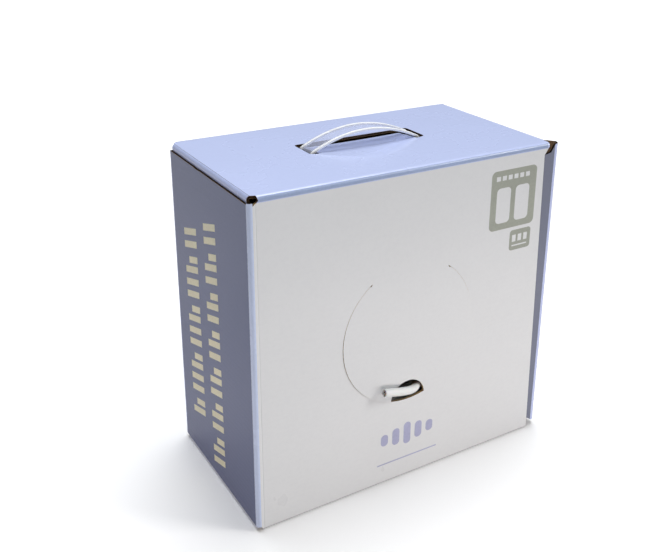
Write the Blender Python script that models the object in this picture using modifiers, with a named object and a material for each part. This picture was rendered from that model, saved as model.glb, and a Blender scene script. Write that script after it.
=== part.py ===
"""Pull-out cable spool box: a micro-flute carton around a coreless spool of data cable.

The carton is one folded tube (front, top, back and bottom) closed by an end panel on each
side. Its wide front has a round access disc with a notch, and the cable leaves the bore of
the spool through that notch. A moulded strap handle hangs in the lid.
Metres, +Z up, the front faces -Y, and the origin is the middle of the base.
"""

import math

import bmesh
import bpy
import numpy as np
from mathutils import Matrix, Vector

# Carton
WIDTH, DEPTH, HEIGHT = 0.222, 0.122, 0.220
BOARD = 0.0016  # E-flute corrugated board
GAP = 0.0003  # running gap between neighbours
LEFT, RIGHT = -WIDTH / 2, WIDTH / 2
FRONT, BACK = -DEPTH / 2, DEPTH / 2
LID_INSET = 0.0025  # the end panel on the right stands proud of the lid
RAW_EDGE_INSET = 0.0059  # from the outer face of an end panel to the raw edge that it tucks under
END_TOP_DROP, END_BOTTOM_RISE = 0.0046, 0.0030
RAW_CORNER = 0.004

# Tuck flaps and dust flaps
TUCK_LENGTH, TUCK_TAPER, TUCK_CLEARANCE = 0.026, 0.008, 0.0007
DUST_LENGTH, DUST_CORNER = 0.040, 0.010
DUST_HINGE_SIDE_INSET, DUST_TUCK_SIDE_INSET = 0.0042, 0.007
GLUE_FLAP_HEIGHT, GLUE_FLAP_LEFT, GLUE_FLAP_RIGHT = 0.020, -0.080, 0.105

# Access disc, midway along the front between its fold and its raw edge, with its fold line as
# a chord near the top and its notch at the bottom
DISC_CENTRE_X, DISC_CENTRE_Z, DISC_RADIUS = -0.0017, HEIGHT / 2, 0.0494
FOLD_HALF_ANGLE = math.radians(36)
FOLD_Z = DISC_CENTRE_Z + DISC_RADIUS * math.cos(FOLD_HALF_ANGLE)
NOTCH_RADIUS, NOTCH_CENTRE_Z = 0.0130, 0.0617

# Hand hole and its flap, which lies pushed in a little
HAND_FRONT, HAND_BACK, HAND_HALF_WIDTH = -0.0073, 0.0154, 0.0435
HAND_FLAP_HALF_WIDTH, HAND_FLAP_BACK_GAP = 0.0350, 0.0010
HAND_FLAP_TILT = math.radians(7)

# Strap handle: a thin web between two thicker rails, ending in anchors under the lid
STRAP_HALF_SPAN, STRAP_RISE, STRAP_SINK = 0.0410, 0.0093, 0.0012
STRAP_SHOULDER, ARCH_INSET = ((0.0, 0.0030), (0.0004, 0.0016)), 0.0015
STRAP_Y, STRAP_WIDTH = 0.0035, 0.0160
WEB_THICKNESS, RAIL_THICKNESS, RAIL_WIDTH = 0.0009, 0.0018, 0.0022
ANCHOR_TOP_DROP, ANCHOR_SIZE = 0.0092, (0.0050, 0.0270, 0.0022)

# Spool: winding, cheeks, stretch wrap and tie bands, with its axis along Y
SPOOL_CENTRE_Z, BORE_RADIUS, WINDING_RADIUS = 0.105, 0.0493, 0.1010
WINDING_HALF_WIDTH, WINDING_CORNER = 0.0530, 0.0020
CHEEK_THICKNESS, CHEEK_RADIUS, WRAP_THICKNESS = 0.0012, 0.1016, 0.0003
BAND_THICKNESS, BAND_WIDTH, BAND_CORNER, BAND_COUNT = 0.0005, 0.0120, 0.0010, 4
BAND_INNER, BAND_OUTER = 0.0481, 0.10245

# Cable tail, from the wall of the bore out through the notch
CABLE_DIAMETER = 0.0054
TAIL_ROUTE = (
    (0.0431, 0.0180, 0.0990),
    (0.0414, 0.0060, 0.0893),
    (0.0370, -0.0080, 0.0800),
    (0.0301, -0.0230, 0.0723),
    (0.0222, -0.0375, 0.0672),
    (0.0143, -0.0494, 0.0655),
    (0.0076, -0.0576, 0.0661),
    (0.0004, -0.0629, 0.0680),
    (-0.0075, -0.0653, 0.0703),
    (-0.0155, -0.0661, 0.0725),
    (-0.0235, -0.0663, 0.0745),
)
TAIL_STEPS = 44

FACING_FRONT = Matrix.Rotation(math.pi / 2, 4, "X")
FACING_END = Matrix(((0, 0, 1, 0), (1, 0, 0, 0), (0, 1, 0, 0), (0, 0, 0, 1)))
FLAT = Matrix.Identity(4)
ARC_STEPS, RING_STEPS = 8, 96


def clear_scene():
    for old in list(bpy.data.objects):
        bpy.data.objects.remove(old, do_unlink=True)


def new_collection(name):
    collection = bpy.data.collections.new(name)
    bpy.context.scene.collection.children.link(collection)
    return collection


def principled(name, colour, roughness, alpha=1.0):
    """A material from an sRGB colour given as 0 to 255."""
    material = bpy.data.materials.new(name)
    material.use_nodes = True
    shader = material.node_tree.nodes["Principled BSDF"]
    linear = [((c / 255 + 0.055) / 1.055) ** 2.4 for c in colour]
    shader.inputs["Base Color"].default_value = (*linear, 1.0)
    shader.inputs["Roughness"].default_value = roughness
    shader.inputs["Metallic"].default_value = 0.0
    shader.inputs["Alpha"].default_value = alpha
    material.diffuse_color = (*linear, alpha)
    return material


def arc(centre, radius, start, end, steps=ARC_STEPS):
    """Points of a circular arc from one angle to another, both ends included."""
    angles = np.linspace(start, end, steps + 1)
    return [(centre[0] + radius * math.cos(a), centre[1] + radius * math.sin(a)) for a in angles]


def rounded_rectangle(left, low, right, high, radius):
    """A rectangle with four equal round corners, counter-clockwise."""
    centres = (
        (right - radius, low + radius),
        (right - radius, high - radius),
        (left + radius, high - radius),
        (left + radius, low + radius),
    )
    points = []
    for quarter, centre in enumerate(centres):
        start = (quarter - 1) * math.pi / 2
        points += arc(centre, radius, start, start + math.pi / 2, 4)
    return points


def finish(piece, material, collection):
    piece.data.materials.append(material)
    collection.objects.link(piece)
    return piece


def slab(name, low, high, material, collection):
    """A plain rectangular board between two corners."""
    low, high = Vector(low), Vector(high)
    mesh = bpy.data.meshes.new(name)
    shape = bmesh.new()
    size = Matrix.Diagonal((*(high - low), 1.0))
    bmesh.ops.create_cube(shape, size=1.0, matrix=Matrix.Translation((low + high) / 2) @ size)
    shape.to_mesh(mesh)
    shape.free()
    return finish(bpy.data.objects.new(name, mesh), material, collection)


def cut_sheet(name, outlines, thickness, place, material, collection):
    """A flat solid from closed outlines: the first is the rim, any other is a hole."""
    curve = bpy.data.curves.new(name, "CURVE")
    curve.dimensions = "2D"
    curve.fill_mode = "BOTH"
    curve.extrude = thickness / 2
    for outline in outlines:
        spline = curve.splines.new("POLY")
        spline.points.add(len(outline) - 1)
        for point, (x, y) in zip(spline.points, outline):
            point.co = (x, y, 0.0, 1.0)
        spline.use_cyclic_u = True
    piece = bpy.data.objects.new(name, curve)
    piece.matrix_world = place
    return finish(piece, material, collection)


def ring(name, inner, outer, low, high, corner, material, collection):
    """A turned ring about the spool's axis, between two planes across it."""
    profile = [
        (outer - corner, high),
        (outer, high - corner),
        (outer, low + corner),
        (outer - corner, low),
        (inner + corner, low),
        (inner, low + corner),
        (inner, high - corner),
        (inner + corner, high),
    ]
    if corner == 0:
        profile = [profile[0], profile[2], profile[4], profile[6]]
    mesh = bpy.data.meshes.new(name)
    count = len(profile)
    edges = [(i, (i + 1) % count) for i in range(count)]
    mesh.from_pydata([(r, 0.0, z) for r, z in profile], edges, [])
    piece = finish(bpy.data.objects.new(name, mesh), material, collection)
    piece.matrix_world = Matrix.Translation((0, 0, SPOOL_CENTRE_Z)) @ FACING_FRONT
    screw = piece.modifiers.new("Turn", "SCREW")
    screw.steps = screw.render_steps = RING_STEPS
    screw.use_merge_vertices = True
    screw.merge_threshold = 0.00001
    screw.use_smooth_shade = False
    return piece


def as_mesh(piece):
    """The same object as a welded mesh, which a Boolean can read."""
    bpy.context.view_layer.update()
    evaluated = piece.evaluated_get(bpy.context.evaluated_depsgraph_get())
    mesh = bpy.data.meshes.new_from_object(evaluated)
    shape = bmesh.new()
    shape.from_mesh(mesh)
    bmesh.ops.remove_doubles(shape, verts=shape.verts, dist=0.00001)
    shape.to_mesh(mesh)
    shape.free()
    name, place, home = piece.name, piece.matrix_world.copy(), piece.users_collection[0]
    bpy.data.objects.remove(piece, do_unlink=True)
    mesh.name = name
    whole = bpy.data.objects.new(name, mesh)
    whole.matrix_world = place
    home.objects.link(whole)
    return whole


def join(piece, operand):
    operand.hide_render = True
    operand.display_type = "WIRE"
    boolean = piece.modifiers.new("Join " + operand.name, "BOOLEAN")
    boolean.operation = "UNION"
    boolean.solver = "EXACT"
    boolean.object = operand


def hang_on(name, position, axis_parent, pieces, collection):
    """An empty on a joint's axis, with the pieces that turn or slide about it."""
    empty = bpy.data.objects.new(name, None)
    empty.empty_display_size = 0.02
    collection.objects.link(empty)
    if axis_parent:
        empty.parent = axis_parent
        empty.matrix_parent_inverse = axis_parent.matrix_basis.inverted()
    empty.location = position
    bpy.context.view_layer.update()
    for piece in pieces:
        piece.parent = empty
        piece.matrix_parent_inverse = empty.matrix_world.inverted()
    return empty


def disc_outline(radius, fold_z, notch_radius=0.0):
    """A circle cut by the fold line near its top, with a round notch at its lowest point."""
    top = math.asin((fold_z - DISC_CENTRE_Z) / radius)
    centre = (DISC_CENTRE_X, DISC_CENTRE_Z)
    if not notch_radius:
        return arc(centre, radius, math.pi - top, 2 * math.pi + top, 72)
    drop = DISC_CENTRE_Z - NOTCH_CENTRE_Z
    half = math.acos((radius**2 + drop**2 - notch_radius**2) / (2 * radius * drop))
    side = radius * math.sin(half)
    low = DISC_CENTRE_Z - radius * math.cos(half)
    lip = math.atan2(low - NOTCH_CENTRE_Z, side)
    left = arc(centre, radius, math.pi - top, 1.5 * math.pi - half, 32)
    notch = arc((DISC_CENTRE_X, NOTCH_CENTRE_Z), notch_radius, math.pi - lip, lip, 20)
    right = arc(centre, radius, 1.5 * math.pi + half, 2 * math.pi + top, 32)
    return left + notch[1:-1] + right


def build_tube(board, collection):
    """Front, top, back and bottom panels and the glue flap that closes the tube."""
    lid_right = RIGHT - LID_INSET
    inner = BOARD + GAP
    slab("bottom_panel", (LEFT, FRONT, 0), (lid_right, BACK, BOARD), board, collection)
    raw_x = RIGHT - RAW_EDGE_INSET
    low, high = inner, HEIGHT - inner
    front_rim = [
        (LEFT + inner, low),
        (raw_x, low),
        (raw_x, high - RAW_CORNER),
        (raw_x - RAW_CORNER / 3, high),
        (LEFT + inner, high),
    ]
    back_rim = [(-x, z) for x, z in reversed(front_rim)]
    aperture = disc_outline(DISC_RADIUS, FOLD_Z)
    place = Matrix.Translation((0, FRONT + BOARD / 2, 0)) @ FACING_FRONT
    cut_sheet("front_panel", [front_rim, aperture], BOARD, place, board, collection)
    place = Matrix.Translation((0, BACK - BOARD / 2, 0)) @ FACING_FRONT
    cut_sheet("back_panel", [back_rim], BOARD, place, board, collection)
    lid_rim = [(LEFT, FRONT), (lid_right, FRONT), (lid_right, BACK), (LEFT, BACK)]
    hand_hole = rounded_rectangle(
        -HAND_HALF_WIDTH, HAND_FRONT, HAND_HALF_WIDTH, HAND_BACK, RAW_CORNER / 4
    )
    place = Matrix.Translation((0, 0, HEIGHT - BOARD / 2))
    cut_sheet("top_panel", [lid_rim, hand_hole], BOARD, place, board, collection)
    flap_back = BACK - BOARD - GAP
    slab(
        "glue_flap",
        (GLUE_FLAP_LEFT, flap_back - BOARD, inner),
        (GLUE_FLAP_RIGHT, flap_back, inner + GLUE_FLAP_HEIGHT),
        board,
        collection,
    )


def build_access_disc(board, collection):
    outline = disc_outline(DISC_RADIUS - GAP, FOLD_Z - GAP, NOTCH_RADIUS)
    place = Matrix.Translation((0, FRONT + BOARD / 2, 0)) @ FACING_FRONT
    disc = cut_sheet("access_disc", [outline], BOARD, place, board, collection)
    hang_on("access_disc_fold", (0, FRONT, FOLD_Z), None, [disc], collection)


def build_hand_flap(board, collection):
    """The board between the strap's slots, hinged at its front on the lid's inner face."""
    front = HAND_FRONT + GAP
    flap = slab(
        "hand_flap",
        (-HAND_FLAP_HALF_WIDTH, front, HEIGHT - BOARD),
        (HAND_FLAP_HALF_WIDTH, HAND_BACK - HAND_FLAP_BACK_GAP, HEIGHT),
        board,
        collection,
    )
    fold = hang_on("hand_flap_fold", (0, front, HEIGHT - BOARD), None, [flap], collection)
    fold.rotation_euler.x = -HAND_FLAP_TILT


def strap_outline(thickness):
    """The strap's side view: upright legs through the lid, joined by a flat arch."""
    foot = HEIGHT - ANCHOR_TOP_DROP - ANCHOR_SIZE[2] / 2
    shoulder = [(STRAP_HALF_SPAN - inset, HEIGHT - drop) for inset, drop in STRAP_SHOULDER]
    line = [(STRAP_HALF_SPAN, foot), *shoulder]
    for x in np.linspace(1, -1, 39) * (STRAP_HALF_SPAN - ARCH_INSET):
        share = 1 - (x / STRAP_HALF_SPAN) ** 2
        line.append((x, HEIGHT - STRAP_SINK + (STRAP_RISE + STRAP_SINK) * share))
    line += [(-x, z) for x, z in reversed(shoulder)] + [(-STRAP_HALF_SPAN, foot)]
    line = np.array(line)
    along = np.gradient(line, axis=0)
    along /= np.linalg.norm(along, axis=1)[:, None]
    along[[0, -1]] = ((0, 1), (0, -1))
    across = np.stack([along[:, 1], -along[:, 0]], axis=1) * thickness / 2
    outer, inner = line + across, line - across
    return [tuple(p) for p in outer] + [tuple(p) for p in inner[::-1]]


def build_carry_handle(plastic, collection, operands):
    """One moulded strap: web, two rails and the cross anchors that stop it under the lid."""

    def strip(name, thickness, width, y, home):
        place = Matrix.Translation((0, y, 0)) @ FACING_FRONT
        return as_mesh(cut_sheet(name, [strap_outline(thickness)], width, place, plastic, home))

    handle = strip("carry_handle", WEB_THICKNESS, STRAP_WIDTH - RAIL_WIDTH, STRAP_Y, collection)
    for side, word in ((-1, "front"), (1, "back")):
        rail_y = STRAP_Y + side * (STRAP_WIDTH - RAIL_WIDTH) / 2
        join(handle, strip("strap_rail_" + word, RAIL_THICKNESS, RAIL_WIDTH, rail_y, operands))
    half = Vector(ANCHOR_SIZE) / 2
    for side, word in ((-1, "left"), (1, "right")):
        middle = Vector((side * STRAP_HALF_SPAN, STRAP_Y, HEIGHT - ANCHOR_TOP_DROP - half.z))
        join(handle, slab("anchor_" + word, middle - half, middle + half, plastic, operands))
    hang_on("carry_handle_lift", (0, STRAP_Y, HEIGHT), None, [handle], collection)


def build_end(side, word, board, collection):
    """An end panel, hinged on the front at the left end and on the back at the right end.

    The right end is the left one turned half round about Z, so the lengths here are those
    of the left end and turn carries them across.
    """
    turn = FLAT if side < 0 else Matrix.Rotation(math.pi, 4, "Z")
    inner_face = LEFT + BOARD
    panel_rim = [
        (FRONT, END_BOTTOM_RISE),
        (BACK - BOARD - GAP, END_BOTTOM_RISE),
        (BACK - BOARD - GAP, HEIGHT - END_TOP_DROP),
        (FRONT, HEIGHT - END_TOP_DROP),
    ]
    place = turn @ Matrix.Translation((LEFT + BOARD / 2, 0, 0)) @ FACING_END
    panel = cut_sheet(word + "_end_panel", [panel_rim], BOARD, place, board, collection)

    root_x, tip_x = inner_face + GAP, inner_face + GAP + TUCK_LENGTH
    low, high = END_BOTTOM_RISE + 2 * BOARD, HEIGHT - END_TOP_DROP - 2 * BOARD
    tuck_rim = [
        (root_x, low),
        (tip_x - TUCK_TAPER, low + TUCK_TAPER / 2),
        *arc((tip_x - TUCK_TAPER, low + 1.5 * TUCK_TAPER), TUCK_TAPER, -math.pi / 2, 0),
        *arc((tip_x - TUCK_TAPER, high - 1.5 * TUCK_TAPER), TUCK_TAPER, 0, math.pi / 2),
        (root_x, high),
    ]
    if side > 0:
        tuck_rim = [(-x, z) for x, z in reversed(tuck_rim)]
    outer_y = BACK - BOARD - TUCK_CLEARANCE
    tuck_y = -side * (outer_y - BOARD / 2)
    place = Matrix.Translation((0, tuck_y, 0)) @ FACING_FRONT
    tuck = cut_sheet(word + "_tuck_flap", [tuck_rim], BOARD, place, board, collection)

    fold = turn @ Vector((LEFT, FRONT, HEIGHT / 2))
    panel_fold = hang_on(word + "_end_fold", fold, None, [panel], collection)
    fold = turn @ Vector((root_x, outer_y - BOARD, HEIGHT / 2))
    hang_on(word + "_tuck_fold", fold, panel_fold, [tuck], collection)

    dust_x = inner_face + GAP + BOARD / 2
    dust_low, dust_high = FRONT + DUST_HINGE_SIDE_INSET, BACK - DUST_TUCK_SIDE_INSET
    for level, height in (("top", HEIGHT - BOARD - GAP), ("bottom", BOARD + GAP)):
        sign = -1 if level == "top" else 1
        tip = height + sign * DUST_LENGTH
        corner = DUST_CORNER
        dust_rim = [
            (dust_low, height),
            (dust_low, tip - sign * corner),
            *arc(
                (dust_low + corner, tip - sign * corner), corner, math.pi, math.pi - sign * math.pi / 2
            ),
            *arc((dust_high - corner, tip - sign * corner), corner, sign * math.pi / 2, 0),
            (dust_high, height),
        ]
        place = turn @ Matrix.Translation((dust_x, 0, 0)) @ FACING_END
        name = f"dust_flap_{level}_{word}"
        flap = cut_sheet(name, [dust_rim], BOARD, place, board, collection)
        fold = turn @ Vector((dust_x + BOARD / 2, 0, height))
        hang_on(name + "_fold", fold, None, [flap], collection)


def build_spool(materials, collection):
    """Winding between two fibreboard cheeks, wrapped in film and held by four tie bands."""
    cheek_low = WINDING_HALF_WIDTH + GAP
    cheek_high = cheek_low + CHEEK_THICKNESS
    wrap_inner = WINDING_RADIUS + GAP
    parts = [
        ring(
            "cable_winding",
            BORE_RADIUS,
            WINDING_RADIUS,
            -WINDING_HALF_WIDTH,
            WINDING_HALF_WIDTH,
            WINDING_CORNER,
            materials["cable"],
            collection,
        ),
        ring(
            "stretch_wrap",
            wrap_inner,
            wrap_inner + WRAP_THICKNESS,
            -WINDING_HALF_WIDTH + WINDING_CORNER,
            WINDING_HALF_WIDTH - WINDING_CORNER,
            0,
            materials["film"],
            collection,
        ),
    ]
    for name, low, high in (
        ("front_cheek", cheek_low, cheek_high),
        ("rear_cheek", -cheek_high, -cheek_low),
    ):
        parts.append(
            ring(name, BORE_RADIUS, CHEEK_RADIUS, low, high, 0, materials["fibreboard"], collection)
        )
    side = cheek_high + GAP
    rim = rounded_rectangle(
        BAND_INNER, -side - BAND_THICKNESS, BAND_OUTER, side + BAND_THICKNESS, BAND_CORNER
    )
    hole = rounded_rectangle(
        BAND_INNER + BAND_THICKNESS,
        -side,
        BAND_OUTER - BAND_THICKNESS,
        side,
        BAND_CORNER - BAND_THICKNESS,
    )
    for number in range(BAND_COUNT):
        angle = (number + 0.5) * 2 * math.pi / BAND_COUNT
        place = Matrix.Translation((0, 0, SPOOL_CENTRE_Z)) @ Matrix.Rotation(angle, 4, "Y")
        name = f"tie_band_{number + 1}"
        parts.append(
            cut_sheet(name, [rim, hole], BAND_WIDTH, place, materials["band"], collection)
        )
    hang_on("spool_turn", (0, 0, SPOOL_CENTRE_Z), None, parts, collection)


def smooth_route(points, steps):
    """Evenly spaced points on the natural cubic spline through a route's points."""
    points = np.array(points)
    knots = np.concatenate([[0], np.cumsum(np.linalg.norm(np.diff(points, axis=0), axis=1))])
    gaps = np.diff(knots)
    count = len(points)
    system, right = np.eye(count), np.zeros((count, 3))
    for i in range(1, count - 1):
        system[i, i - 1 : i + 2] = gaps[i - 1], 2 * (gaps[i - 1] + gaps[i]), gaps[i]
        slopes = np.diff(points[i - 1 : i + 2], axis=0) / gaps[i - 1 : i + 1, None]
        right[i] = 6 * (slopes[1] - slopes[0])
    bend = np.linalg.solve(system, right)
    route = []
    for at in np.linspace(0, knots[-1], steps + 1):
        i = min(np.searchsorted(knots, at, side="right") - 1, count - 2)
        before, after, gap = at - knots[i], knots[i + 1] - at, gaps[i]
        cubic = (bend[i] * after**3 + bend[i + 1] * before**3) / (6 * gap)
        linear = (points[i] / gap - bend[i] * gap / 6) * after
        linear += (points[i + 1] / gap - bend[i + 1] * gap / 6) * before
        route.append(cubic + linear)
    return np.array(route)


def build_cable_tail(material, collection):
    curve = bpy.data.curves.new("cable_tail", "CURVE")
    curve.dimensions = "3D"
    curve.bevel_depth = CABLE_DIAMETER / 2
    curve.bevel_resolution = 2
    curve.use_fill_caps = True
    route = smooth_route(TAIL_ROUTE, TAIL_STEPS)
    spline = curve.splines.new("POLY")
    spline.points.add(len(route) - 1)
    for point, place in zip(spline.points, route):
        point.co = (*place, 1.0)
    finish(bpy.data.objects.new("cable_tail", curve), material, collection)


def main():
    clear_scene()
    collection = new_collection("cable_spool_box")
    operands = new_collection("operands")
    board = principled("printed_board", (205, 208, 218), 0.35)
    lavender = principled("lavender_board", (192, 203, 237), 0.32)
    plastic = principled("strap_plastic", (236, 240, 245), 0.40)
    spool = {
        "cable": principled("cable_jacket", (236, 238, 236), 0.45),
        "film": principled("stretch_film", (225, 232, 238), 0.20, alpha=0.4),
        "fibreboard": principled("fibreboard", (176, 146, 108), 0.85),
        "band": principled("tie_band", (240, 240, 235), 0.35),
    }
    build_tube(board, collection)
    build_access_disc(board, collection)
    build_hand_flap(lavender, collection)
    build_carry_handle(plastic, collection, operands)
    build_end(-1, "left", lavender, collection)
    build_end(1, "right", lavender, collection)
    build_spool(spool, collection)
    build_cable_tail(spool["cable"], collection)


main()
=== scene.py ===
"""Looks of the cable spool box: printed board, strap handle, coreless spool and cable tail."""

import math

import bmesh
import bpy
import numpy as np
from mathutils import Matrix, Vector
from mathutils.geometry import tessellate_polygon


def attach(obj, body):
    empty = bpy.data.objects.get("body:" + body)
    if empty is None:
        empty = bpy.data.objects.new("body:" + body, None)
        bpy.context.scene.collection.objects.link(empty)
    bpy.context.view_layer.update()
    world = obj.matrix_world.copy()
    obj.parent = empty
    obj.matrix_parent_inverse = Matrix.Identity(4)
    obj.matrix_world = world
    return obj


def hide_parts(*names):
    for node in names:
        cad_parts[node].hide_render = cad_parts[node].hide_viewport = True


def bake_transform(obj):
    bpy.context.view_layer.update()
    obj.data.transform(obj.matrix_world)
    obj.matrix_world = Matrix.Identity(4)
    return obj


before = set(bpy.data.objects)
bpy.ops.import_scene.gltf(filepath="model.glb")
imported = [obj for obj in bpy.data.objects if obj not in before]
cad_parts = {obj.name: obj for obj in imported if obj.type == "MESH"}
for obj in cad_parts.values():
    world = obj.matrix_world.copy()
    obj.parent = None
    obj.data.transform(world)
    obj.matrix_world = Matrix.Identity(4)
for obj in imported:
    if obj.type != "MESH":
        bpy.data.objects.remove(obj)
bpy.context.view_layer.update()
bpy.context.scene.view_settings.view_transform = "Standard"

# ------------------------ sizes, in metres
BOARD = 0.0016
LINER = 0.0003
CORE_RECESS = 0.0003
FLUTE_PITCH = 0.00336
HEIGHT = 0.220
LEFT, FRONT, BACK = -0.111, -0.061, 0.061
LID_RIGHT = 0.1085
WALL_EDGE = 0.1085  # where the flat walls end and the corner folds begin
LAVENDER_SLOT, WHITE_SLOT = "printed_lavender_board", "printed_white_board"
FOLD_RADIUS = 0.0025
FOLD_MARGIN = 0.0006
RAW_RIGHT = 0.1051
RAW_RIGHT_LOW, RAW_RIGHT_HIGH, LID_CORNER = 0.1072, 0.1022, 0.1060
DISC_X, DISC_Z, DISC_RADIUS, DISC_CUT = -0.0017, 0.110, 0.0494, 0.00012
DISC_HALF_ANGLE = math.radians(36)
DISC_FOLD_Z = DISC_Z + DISC_RADIUS * math.cos(DISC_HALF_ANGLE)
NOTCH_RADIUS, NOTCH_Z = 0.0130, 0.0617
CABLE_DIAMETER = 0.0054
TAIL_ROUTE = (
    (0.0431, 0.0180, 0.0990), (0.0414, 0.0060, 0.0893),
    (0.0370, -0.0080, 0.0800), (0.0301, -0.0230, 0.0723),
    (0.0222, -0.0375, 0.0672), (0.0143, -0.0494, 0.0655),
    (0.0076, -0.0576, 0.0661), (0.0004, -0.0629, 0.0680),
    (-0.0075, -0.0653, 0.0703), (-0.0155, -0.0661, 0.0725),
    (-0.0235, -0.0663, 0.0745),
)

# ------------------------ camera, floor and light
CAMERA_PLACE = (-0.29547, -0.46898, 0.38252)
CAMERA_RIGHT = (0.849418, -0.527516, 0.014718)
CAMERA_DOWN = (-0.168438, -0.297443, -0.939764)
CAMERA_FORWARD = (0.500118, 0.795773, -0.341507)


def make_camera():
    data = bpy.data.cameras.new("camera")
    data.sensor_width = 36.0
    data.lens = 48.513
    data.shift_x, data.shift_y = -0.0510, -0.1187
    camera = bpy.data.objects.new("camera", data)
    bpy.context.scene.collection.objects.link(camera)
    right, up, back = Vector(CAMERA_RIGHT), -Vector(CAMERA_DOWN), -Vector(CAMERA_FORWARD)
    turn = Matrix((right, up, back)).transposed().to_4x4()
    camera.matrix_world = Matrix.Translation(CAMERA_PLACE) @ turn
    bpy.context.scene.camera = camera


def area_light(name, place, target, size, power, colour):
    data = bpy.data.lights.new(name, "AREA")
    data.shape = "RECTANGLE"
    data.size, data.size_y = size
    data.energy = power
    data.color = colour
    lamp = bpy.data.objects.new(name, data)
    lamp.location = place
    away = Vector(place) - Vector(target)
    lamp.rotation_mode = "QUATERNION"
    lamp.rotation_quaternion = away.to_track_quat("Z", "Y")
    lamp.visible_camera = lamp.visible_glossy = False
    bpy.context.scene.collection.objects.link(lamp)


def soft_sun(name, way, angle, strength, colour):
    data = bpy.data.lights.new(name, "SUN")
    data.angle = math.radians(angle)
    data.energy = strength
    data.color = colour
    lamp = bpy.data.objects.new(name, data)
    lamp.rotation_mode = "QUATERNION"
    lamp.rotation_quaternion = Vector(way).to_track_quat("Z", "Y")
    bpy.context.scene.collection.objects.link(lamp)


def make_studio():
    world = bpy.data.worlds.new("studio")
    bpy.context.scene.world = world
    world.use_nodes = True
    tree = world.node_tree
    tree.nodes.clear()
    out = tree.nodes.new("ShaderNodeOutputWorld")
    mix = tree.nodes.new("ShaderNodeMixShader")
    path = tree.nodes.new("ShaderNodeLightPath")
    dim, bright = (tree.nodes.new("ShaderNodeBackground") for _ in range(2))
    dim.inputs["Color"].default_value = (0.84, 0.90, 1.0, 1)
    dim.inputs["Strength"].default_value = 0.16
    bright.inputs["Color"].default_value = (1, 1, 1, 1)
    bright.inputs["Strength"].default_value = 1.0
    tree.links.new(path.outputs["Is Camera Ray"], mix.inputs["Fac"])
    tree.links.new(dim.outputs[0], mix.inputs[1])
    tree.links.new(bright.outputs[0], mix.inputs[2])
    tree.links.new(mix.outputs[0], out.inputs["Surface"])

    soft_sun("overhead_light", (0.15, 0.28, 1.0), 50, 2.80, (0.97, 0.985, 1.0))
    soft_sun("key_light", (0.62, -0.48, 0.50), 18, 1.10, (1.0, 0.975, 0.95))
    soft_sun("front_fill", (0.05, -1.0, 0.10), 50, 0.29, (0.93, 0.97, 1.0))
    area_light(
        "low_light", (0.07, -0.33, 0.025), (0.03, FRONT, 0.025), (0.52, 0.03),
        0.40, (1.0, 0.90, 0.85),
    )
    area_light(
        "left_low_light", (-0.36, 0.02, 0.02), (LEFT, 0.0, 0.02), (0.2, 0.03),
        0.22, (1.0, 0.86, 0.80),
    )


# ------------------------ materials
def srgb(*levels):
    out = []
    for level in levels:
        c = level / 255
        out.append(c / 12.92 if c <= 0.04045 else ((c + 0.055) / 1.055) ** 2.4)
    return (*out, 1.0)


class Paint:
    """A node material built up step by step round one Principled shader."""

    def __init__(self, name, **constants):
        self.material = bpy.data.materials.new(name)
        self.material.use_nodes = True
        self.tree = self.material.node_tree
        self.shader = self.tree.nodes["Principled BSDF"]
        for key, value in constants.items():
            self.shader.inputs[key.replace("_", " ")].default_value = value
        self.spot = self.node("ShaderNodeTexCoord").outputs["Object"]

    def node(self, kind, **settings):
        node = self.tree.nodes.new(kind)
        for key, value in settings.items():
            setattr(node, key, value)
        return node

    def link(self, source, target):
        self.tree.links.new(source, target)

    def stretched(self, scale):
        node = self.node("ShaderNodeMapping")
        node.inputs["Scale"].default_value = scale
        self.link(self.spot, node.inputs["Vector"])
        return node.outputs[0]

    def noise(self, scale, detail=3.0, roughness=0.55, where=None):
        node = self.node("ShaderNodeTexNoise")
        node.inputs["Scale"].default_value = scale
        node.inputs["Detail"].default_value = detail
        node.inputs["Roughness"].default_value = roughness
        self.link(where or self.spot, node.inputs["Vector"])
        return node.outputs["Fac"]

    def wave(self, scale, direction, distortion=0.0):
        node = self.node("ShaderNodeTexWave", bands_direction=direction)
        node.inputs["Scale"].default_value = scale
        node.inputs["Distortion"].default_value = distortion
        self.link(self.spot, node.inputs["Vector"])
        return node.outputs["Fac"]

    def ramp(self, source, *stops):
        node = self.node("ShaderNodeValToRGB")
        points = node.color_ramp.elements
        while len(points) < len(stops):
            points.new(0.5)
        for point, (place, colour) in zip(points, stops):
            point.position, point.color = place, colour
        self.link(source, node.inputs["Fac"])
        return node.outputs["Color"]

    def spread(self, source, low, high, start=0.3, end=0.7):
        node = self.node("ShaderNodeMapRange")
        levels = {"From Min": start, "From Max": end, "To Min": low, "To Max": high}
        for key, value in levels.items():
            node.inputs[key].default_value = value
        self.link(source, node.inputs["Value"])
        return node.outputs["Result"]

    def blend(self, mode, amount, first, second):
        node = self.node("ShaderNodeMix", data_type="RGBA", blend_type=mode)
        node.inputs["Factor"].default_value = amount
        self.link(first, node.inputs["A"])
        self.link(second, node.inputs["B"])
        return node.outputs["Result"]

    def colour(self, source):
        self.link(source, self.shader.inputs["Base Color"])

    def rough(self, source):
        self.link(source, self.shader.inputs["Roughness"])

    def bump(self, source, depth, strength=1.0):
        node = self.node("ShaderNodeBump")
        node.inputs["Distance"].default_value = depth
        node.inputs["Strength"].default_value = strength
        self.link(source, node.inputs["Height"])
        old = self.shader.inputs["Normal"]
        if old.is_linked:
            self.link(old.links[0].from_socket, node.inputs["Normal"])
        self.link(node.outputs["Normal"], old)


def shade(colour, factor):
    return (*(min(1.0, c * factor) for c in colour[:3]), 1.0)


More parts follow.
